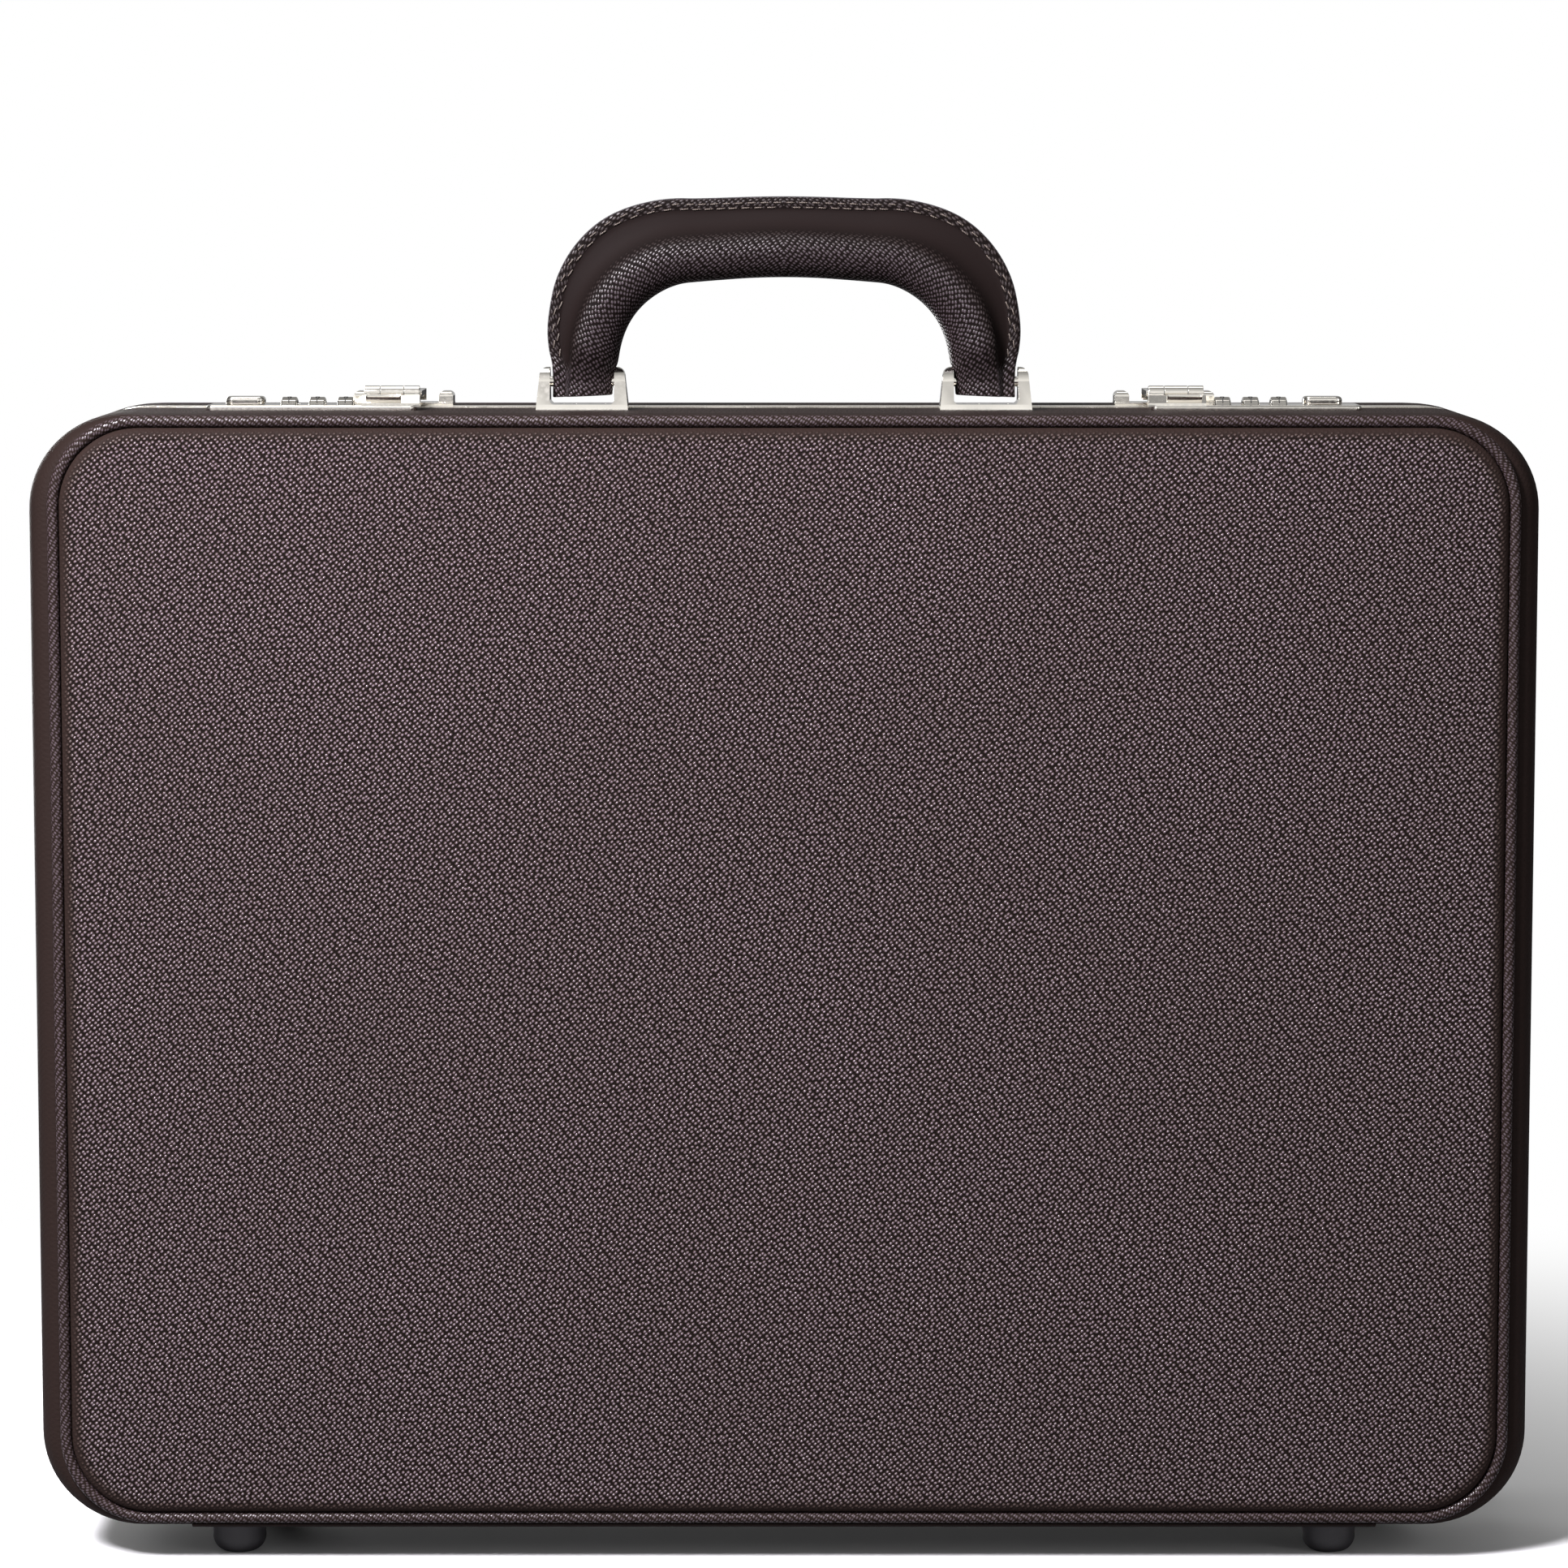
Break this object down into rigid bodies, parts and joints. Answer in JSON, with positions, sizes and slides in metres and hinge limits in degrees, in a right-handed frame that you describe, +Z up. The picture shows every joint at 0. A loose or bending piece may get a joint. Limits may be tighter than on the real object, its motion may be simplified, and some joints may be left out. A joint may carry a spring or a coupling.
{
  "type": "leather briefcase",
  "caption": "Hard-framed leather attache case with padded piped panels, a stitched carrying handle, flip-up hasps and combination locks; the lid hinges at the bottom.",
  "frame": {"origin": "on the floor under the middle of the case, which stands on its feet with the lid closed", "axes": "+X to the right seen from the front, -Y out of the front panel, +Z up"},
  "size_m": [0.4608, 0.105, 0.42],
  "materials": {
    "case_leather": "dark brown cross-grain embossed leather, satin",
    "grip_leather": "dark brown cross-grain leather, stitched",
    "organiser_leather": "smooth dark brown leather",
    "board": "bent plywood",
    "foam": "closed-cell foam",
    "lining": "brushed suede-like cloth",
    "elastic": "woven elastic",
    "rim_metal": "satin champagne anodised",
    "bright_metal": "polished warm nickel plate",
    "dial_metal": "nickel-plated wheels with plain black numerals",
    "steel": "zinc-plated steel",
    "rubber": "matt black rubber"
  },
  "bodies": {
    "body": {"body_board": "board", "body_side_leather": "case_leather", "body_bottom_leather": "case_leather", "body_panel_padding": "foam", "body_panel_leather": "case_leather", "body_piping": "case_leather", "body_lining": "lining", "body_rim": "rim_metal", "body_feet": "rubber", "body_foot_screws": "steel", "hinge_leaf_body": "steel", "hinge_pin": "steel", "stay_studs_body": "steel", "handle_bracket_left": "bright_metal", "handle_bracket_right": "bright_metal", "handle_pins": "bright_metal", "bracket_rivets": "bright_metal", "backing_plates": "steel", "lock_plate_left": "bright_metal", "lock_plate_right": "bright_metal", "lock_cases": "steel", "dial_axles": "steel", "hasp_pins": "steel", "button_springs": "steel"},
    "lid": {"lid_board": "board", "lid_side_leather": "case_leather", "lid_bottom_leather": "case_leather", "lid_panel_padding": "foam", "lid_panel_leather": "case_leather", "lid_piping": "case_leather", "lid_lining": "lining", "lid_rim": "rim_metal", "lid_feet": "rubber", "lid_foot_screws": "steel", "hinge_leaf_lid": "steel", "stay_studs_lid": "steel", "keepers": "bright_metal", "keeper_rivets": "bright_metal", "organiser_panel": "organiser_leather", "document_pocket_gusset": "organiser_leather", "card_pockets": "organiser_leather", "phone_pocket": "organiser_leather", "pen_loops": "elastic"},
    "handle": {"handle_core": "steel", "handle_padding": "foam", "handle_leather": "grip_leather"},
    "stay_link_body_left": {"stay_link_body_left": "steel"},
    "stay_link_lid_left": {"stay_link_lid_left": "steel"},
    "stay_link_body_right": {"stay_link_body_right": "steel"},
    "stay_link_lid_right": {"stay_link_lid_right": "steel"},
    "hasp_left": {"hasp_left": "bright_metal"},
    "release_button_left": {"release_button_left": "bright_metal"},
    "dial_left_1": {"dial_left_1": "dial_metal"},
    "dial_left_2": {"dial_left_2": "dial_metal"},
    "dial_left_3": {"dial_left_3": "dial_metal"},
    "hasp_right": {"hasp_right": "bright_metal"},
    "release_button_right": {"release_button_right": "bright_metal"},
    "dial_right_1": {"dial_right_1": "dial_metal"},
    "dial_right_2": {"dial_right_2": "dial_metal"},
    "dial_right_3": {"dial_right_3": "dial_metal"}
  },
  "joints": [
    {"name": "lid_hinge", "type": "hinge", "parent": "body", "child": "lid", "pos_m": [0, 0.008, 0.0108], "axis": [-1, 0, 0], "range_deg": [0, 95]},
    {"name": "stay_body_pivot_left", "type": "hinge", "parent": "body", "child": "stay_link_body_left", "pos_m": [0, 0.002, 0.1058], "axis": [-1, 0, 0], "range_deg": [0, 112]},
    {"name": "stay_lid_pivot_left", "type": "hinge", "parent": "lid", "child": "stay_link_lid_left", "pos_m": [0, 0.014, 0.1058], "axis": [1, 0, 0], "range_deg": [0, 112]},
    {"name": "stay_body_pivot_right", "type": "hinge", "parent": "body", "child": "stay_link_body_right", "pos_m": [0, 0.002, 0.1058], "axis": [-1, 0, 0], "range_deg": [0, 112]},
    {"name": "stay_lid_pivot_right", "type": "hinge", "parent": "lid", "child": "stay_link_lid_right", "pos_m": [0, 0.014, 0.1058], "axis": [1, 0, 0], "range_deg": [0, 112]},
    {"name": "handle_pivot", "type": "hinge", "parent": "body", "child": "handle", "pos_m": [0, -0.011, 0.3632], "axis": [1, 0, 0], "range_deg": [-80, 80]},
    {"name": "hasp_pivot_left", "type": "hinge", "parent": "body", "child": "hasp_left", "pos_m": [-0.1211, -0.0089, 0.3597], "axis": [1, 0, 0], "range_deg": [0, 105]},
    {"name": "button_slide_left", "type": "slide", "parent": "body", "child": "release_button_left", "axis": [-1, 0, 0], "range_m": [0, 0.004], "stiffness_N_per_m": 200, "springref_m": -0.002, "deforming": ["button_springs"]},
    {"name": "dial_spin_left_1", "type": "hinge", "parent": "body", "child": "dial_left_1", "pos_m": [-0.1354, -0.0094, 0.3534], "axis": [1, 0, 0], "continuous": true},
    {"name": "dial_spin_left_2", "type": "hinge", "parent": "body", "child": "dial_left_2", "pos_m": [-0.1441, -0.0094, 0.3534], "axis": [1, 0, 0], "continuous": true},
    {"name": "dial_spin_left_3", "type": "hinge", "parent": "body", "child": "dial_left_3", "pos_m": [-0.1528, -0.0094, 0.3534], "axis": [1, 0, 0], "continuous": true},
    {"name": "hasp_pivot_right", "type": "hinge", "parent": "body", "child": "hasp_right", "pos_m": [0.1211, -0.0089, 0.3597], "axis": [1, 0, 0], "range_deg": [0, 105]},
    {"name": "button_slide_right", "type": "slide", "parent": "body", "child": "release_button_right", "axis": [1, 0, 0], "range_m": [0, 0.004], "stiffness_N_per_m": 200, "springref_m": -0.002, "deforming": ["button_springs"]},
    {"name": "dial_spin_right_1", "type": "hinge", "parent": "body", "child": "dial_right_1", "pos_m": [0.1354, -0.0094, 0.3534], "axis": [1, 0, 0], "continuous": true},
    {"name": "dial_spin_right_2", "type": "hinge", "parent": "body", "child": "dial_right_2", "pos_m": [0.1441, -0.0094, 0.3534], "axis": [1, 0, 0], "continuous": true},
    {"name": "dial_spin_right_3", "type": "hinge", "parent": "body", "child": "dial_right_3", "pos_m": [0.1528, -0.0094, 0.3534], "axis": [1, 0, 0], "continuous": true}
  ],
  "couplings": [
    {"joint": "stay_body_pivot_left", "follows": "lid_hinge", "ratio": 1.1533},
    {"joint": "stay_lid_pivot_left", "follows": "lid_hinge", "ratio": 1.1533},
    {"joint": "stay_body_pivot_right", "follows": "lid_hinge", "ratio": 1.1533},
    {"joint": "stay_lid_pivot_right", "follows": "lid_hinge", "ratio": 1.1533}
  ]
}
